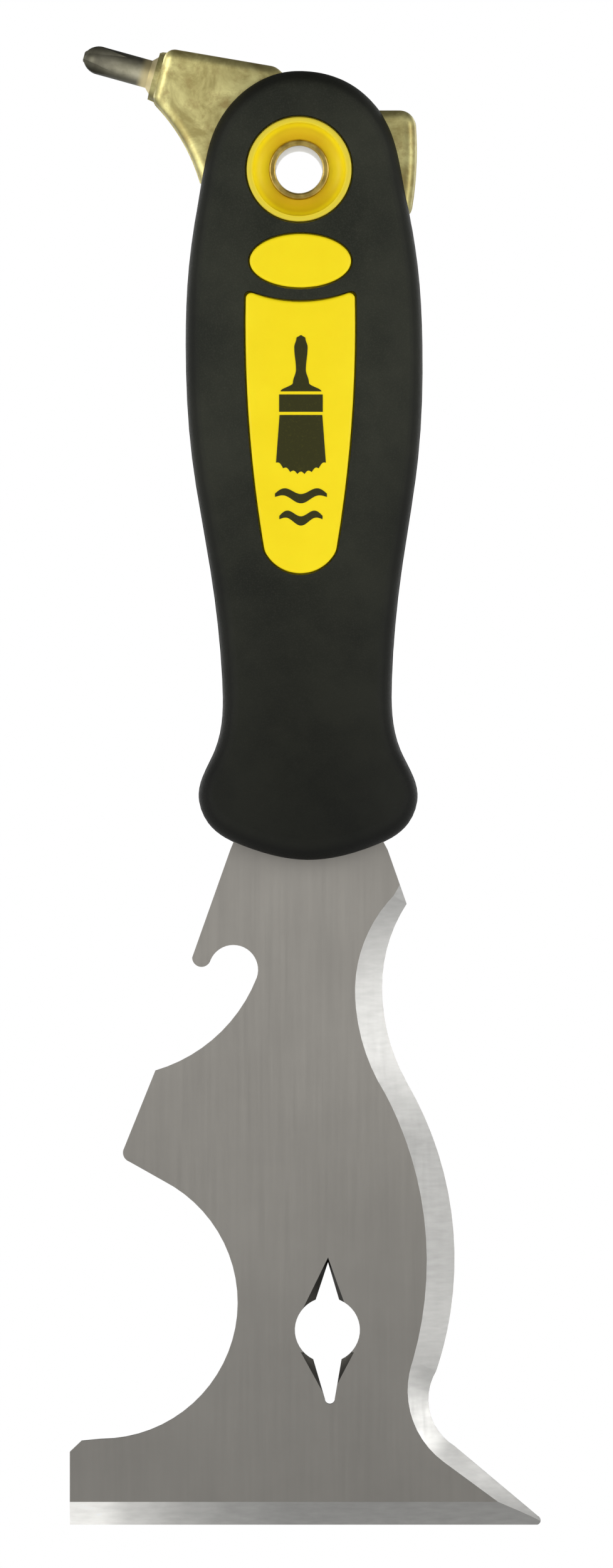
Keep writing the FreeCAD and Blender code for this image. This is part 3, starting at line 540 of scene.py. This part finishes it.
def middle_loops(node):
    """The lines where a node crosses the plane Y = 0, as lists of points."""
    shape = bmesh.new()
    shape.from_mesh(frame["nodes"][node].data)
    bmesh.ops.remove_doubles(shape, verts=shape.verts, dist=1e-6)
    geometry = shape.verts[:] + shape.edges[:] + shape.faces[:]
    found = bmesh.ops.bisect_plane(shape, geom=geometry, dist=1e-7, plane_co=(0, 0, 0),
                                   plane_no=BACKWARD, clear_inner=True, clear_outer=True)
    edges = [item for item in found["geom_cut"] if isinstance(item, bmesh.types.BMEdge)]
    links = {}
    for edge in edges:
        for vert in edge.verts:
            links.setdefault(vert, []).append(edge)
    left = set(edges)
    chains = []
    while left:
        first = min(left, key=lambda edge: tuple(edge.verts[0].co + edge.verts[1].co))
        left.discard(first)
        chain = list(first.verts)
        grown = True
        while grown:
            grown = False
            for end in (-1, 0):
                for edge in links[chain[end]]:
                    if edge in left:
                        left.discard(edge)
                        other = edge.other_vert(chain[end])
                        if end == 0:
                            chain.insert(0, other)
                        else:
                            chain.append(other)
                        grown = True
                        break
        chains.append([vert.co.copy() for vert in chain])
    shape.free()
    return chains


def seam(name, node, shown, radius, material):
    """The raised line that the mould leaves along a node's middle plane, where shown(point) is true."""
    curve = bpy.data.curves.new(name + "_line", "CURVE")
    curve.dimensions = "3D"
    curve.bevel_depth = radius
    curve.bevel_resolution = 1
    curve.use_fill_caps = True
    for chain in middle_loops(node):
        run = []
        for point in chain + [None]:
            if point is not None and shown(point):
                if not run or (point - run[-1]).length > LINE_STEP:
                    run.append(point)
                continue
            if len(run) >= LINE_POINTS:
                line = curve.splines.new("POLY")
                line.points.add(len(run) - 1)
                for target, here in zip(line.points, run):
                    target.co = (*here, 1)
            run = []
    holder = bpy.data.objects.new(name + "_holder", curve)
    mesh = bpy.data.meshes.new_from_object(holder)
    mesh.name = name
    bpy.data.objects.remove(holder)
    bpy.data.curves.remove(curve)
    mesh.materials.clear()
    new_piece(name, mesh, material)


def make_seams():
    """The parting lines of the casting and of the grip, only where they can be seen."""
    grip = surface_of("rubber_grip")
    head = surface_of("hammer_head")

    def outside_grip(point):
        """Whether nothing of the grip lies in front of the point."""
        return grip.ray_cast(point, -BACKWARD)[0] is None

    def on_grip_outside(point):
        """Whether a ray from just off the point, away from the grip's middle, meets nothing."""
        axis_z = min(max(point.z, GRIP_LOW.z + GRIP_END_RADIUS), GRIP_HIGH.z - GRIP_END_RADIUS)
        away = (point - Vector((GRIP_MIDDLE, 0, axis_z))).normalized()
        start = point + away * PROBE_START
        return grip.ray_cast(start, away)[0] is None and head.ray_cast(start, away)[0] is None

    seam("head_parting_line", "hammer_head", outside_grip, HEAD_LINE_RADIUS, BRASS)
    seam("grip_parting_line", "rubber_grip", on_grip_outside, GRIP_LINE_RADIUS, RUBBER)


def smooth_between(points, steps):
    """(level, half width) rows eased through the given rows."""
    rows = []
    for (z0, half0), (z1, half1) in zip(points, points[1:]):
        for step in range(steps):
            share = step / steps
            ease = (1 - math.cos(math.pi * share)) / 2
            rows.append((z0 + (z1 - z0) * share, half0 + (half1 - half0) * ease))
    return rows + [points[-1]]


def brush_strips(width, foot):
    """A flat paintbrush, handle up, as strips: each is a list of pairs of (x, z) points."""
    strips = [
        [((-half * width, foot + z * width), (half * width, foot + z * width)) for z, half in rows]
        for rows in (smooth_between(BRUSH_HANDLE, 10), BRUSH_FERRULE)]
    bristles = []
    steps = 8 * BRUSH_TUFTS
    for step in range(steps + 1):
        share = step / steps
        side = 2 * share - 1
        ragged = 0.06 * abs(math.sin(math.pi * BRUSH_TUFTS * share))
        top = (side * 0.48 * width, foot + 1.33 * width)
        bottom = (side * 0.56 * width, foot + (0.26 * side ** 2 + ragged) * width)
        bristles.append((top, bottom))
    return strips + [bristles]


def wave_strip(length, level):
    """A wavy brush stroke, thinner at its ends."""
    pairs = []
    steps = 40
    for step in range(steps + 1):
        share = step / steps
        x = (share - 0.5) * length
        z = level + WAVE_HEIGHT * math.sin(2 * math.pi * WAVE_TURNS * share)
        half = WAVE_THICKNESS / 2 * math.sin(math.pi * (0.04 + 0.92 * share)) ** 0.5
        pairs.append(((x, z + half), (x, z - half)))
    return pairs


def rim_of(rows):
    """The outer vertices of a grid given as rows, in order round it."""
    right = [row[-1] for row in rows[1:-1]]
    left = [row[0] for row in rows[1:-1]]
    return rows[0] + right + rows[-1][::-1] + left[::-1]


def lay_strip(shape, surface, pairs):
    """A thin solid of ink between the pairs, spread just in front of the panel's crowned face."""
    back, front = [], []
    for first, last in pairs:
        back.append([])
        front.append([])
        for column in range(INK_COLUMNS + 1):
            share = column / INK_COLUMNS
            x = PRINT_MIDDLE + first[0] + (last[0] - first[0]) * share
            z = first[1] + (last[1] - first[1]) * share
            hit = surface.ray_cast(Vector((x, PANEL_FRONT - INK_THICKNESS, z)), BACKWARD)[0]
            behind = shape.verts.new((x, hit.y - INK_THICKNESS, z))
            back[-1].append(behind)
            front[-1].append(shape.verts.new(behind.co - INK_THICKNESS * BACKWARD))
    for rows in (back, front):
        for upper, lower in zip(rows, rows[1:]):
            for corners in zip(upper, upper[1:], lower[1:], lower):
                shape.faces.new(corners)
    inner, outer = rim_of(back), rim_of(front)
    for corners in zip(inner, inner[1:] + inner[:1], outer[1:] + outer[:1], outer):
        shape.faces.new(corners)


def make_print():
    """A brush and two wavy strokes, a plain trade symbol, printed down the front panel."""
    surface = surface_of("core_front")
    shape = bmesh.new()
    waves = [wave_strip(length, level) for length, level in WAVES]
    for pairs in brush_strips(BRUSH_WIDTH, BRUSH_FOOT) + waves:
        lay_strip(shape, surface, pairs)
    bmesh.ops.recalc_face_normals(shape, faces=shape.faces[:])
    mesh = bpy.data.meshes.new("panel_print")
    shape.to_mesh(mesh)
    shape.free()
    new_piece("panel_print", mesh, INK)


make_seams()
make_print()


# ------------------------------------------------------------------ stage

# the middle of the picture, and how much of the tool's plane it shows
CENTRE_X = 1.2 * MM
CENTRE_Z = -99.5 * MM
VIEW_HEIGHT = 255.0 * MM
CAMERA_DISTANCE = 2.2
CAMERA_REACH = 50
SENSOR = 36.0

FLOOR_LEVEL = CAD_BOX[0].z - 1.5 * MM
FLOOR_RADIUS = 3.0
FLOOR_GLOW = 0.5

# how bright the mirrored room is, and where its walls fade into each other
ROOM_FRONT = 0.52
ROOM_SIDES = 1.15
ROOM_ABOVE = 0.25
ROOM_BLEND = (0.2, 0.6)

# each light stands at both sides; name, place of the right one, size, radiance
SOFTBOXES = (
    ("front_box", (1.1, -0.78, 0.0), (0.5, 0.9), 4.8),
    ("rear_box", (0.9, 1.0, 0.3), (0.6, 0.9), 2.0),
)


def aim(item, target):
    """Turns a camera or a light towards the target."""
    item.rotation_euler = (Vector(target) - item.location).to_track_quat("-Z", "Y").to_euler()


def make_camera():
    """A long lens, level with the middle of the tool, straight in front of it."""
    data = bpy.data.cameras.new("camera")
    data.sensor_width = SENSOR
    data.lens = SENSOR * CAMERA_DISTANCE / VIEW_HEIGHT
    data.clip_end = CAMERA_REACH
    camera = bpy.data.objects.new("camera", data)
    camera.location = (CENTRE_X, -CAMERA_DISTANCE, CENTRE_Z)
    bpy.context.scene.collection.objects.link(camera)
    aim(camera, (CENTRE_X, 0, CENTRE_Z))
    bpy.context.scene.camera = camera


def softbox(name, place, size, radiance):
    """A rectangular light aimed at the middle of the tool; its power follows from its radiance."""
    data = bpy.data.lights.new(name, "AREA")
    data.shape = "RECTANGLE"
    data.size, data.size_y = size
    data.energy = radiance * math.pi * size[0] * size[1]
    light = bpy.data.objects.new(name, data)
    light.location = place
    light.visible_camera = False
    bpy.context.scene.collection.objects.link(light)
    aim(light, (0, 0, CENTRE_Z))


def seen_or_lighting(graph, seen, lighting):
    """One shader for what the camera sees, another for what lights and mirrors the tool."""
    path = graph.nodes.new("ShaderNodeLightPath")
    choose = graph.nodes.new("ShaderNodeMixShader")
    graph.link(path.outputs["Is Camera Ray"], choose.inputs["Fac"])
    graph.link(lighting, choose.inputs[1])
    graph.link(seen, choose.inputs[2])
    return choose.outputs[0]


def make_floor():
    """A matt floor just below the blade: white to the camera, softly glowing to the tool."""
    bpy.ops.mesh.primitive_circle_add(vertices=96, radius=FLOOR_RADIUS, fill_type="NGON",
                                      location=(0, 0, FLOOR_LEVEL))
    floor = bpy.context.object
    floor.name = "studio_floor"
    shader = Shader("floor_paint")
    shader.set(Specular_IOR_Level=0.2, Emission_Color=(1, 1, 1, 1), Emission_Strength=FLOOR_GLOW)
    grain = shader.noise(60, detail=3)
    shader.finish(shader.mix(grain, (0.55, 0.55, 0.55), (0.58, 0.58, 0.58)),
                  shader.span(grain, 0.3, 0.7, 0.55, 0.65),
                  shader.bump(grain, 0.1 * MM, 0.2))
    white = shader.nodes.new("ShaderNodeEmission")
    both = seen_or_lighting(shader, white.outputs[0], shader.surface.outputs[0])
    shader.link(both, shader.nodes["Material Output"].inputs["Surface"])
    floor.data.materials.append(shader.material)


def make_world():
    """A white backdrop; the tool mirrors a room that is bright at both sides and dark overhead."""
    world = bpy.data.worlds.new("studio")
    bpy.context.scene.world = world
    world.use_nodes = True
    world.node_tree.nodes.clear()
    graph = Graph(world.node_tree)
    direction = graph.coords.outputs["Generated"]
    sides = graph.span(graph.size_of(direction, 0), *ROOM_BLEND, ROOM_FRONT, ROOM_SIDES, smooth=True)
    overhead = graph.span(graph.part(direction, 2), *ROOM_BLEND, 1.0, ROOM_ABOVE, smooth=True)
    room = graph.nodes.new("ShaderNodeBackground")
    graph.put((1, 1, 1), room.inputs["Color"])
    graph.link(graph.times(sides, overhead), room.inputs["Strength"])
    backdrop = graph.nodes.new("ShaderNodeBackground")
    graph.put((1, 1, 1), backdrop.inputs["Color"])
    output = graph.nodes.new("ShaderNodeOutputWorld")
    graph.link(seen_or_lighting(graph, backdrop.outputs[0], room.outputs[0]), output.inputs["Surface"])


bpy.context.scene.view_settings.view_transform = "Standard"
make_camera()
make_world()
make_floor()
for side, sign in (("left", -1), ("right", 1)):
    for name, (x, y, z), size, radiance in SOFTBOXES:
        softbox("%s_%s" % (name, side), (sign * x, y, z), size, radiance)
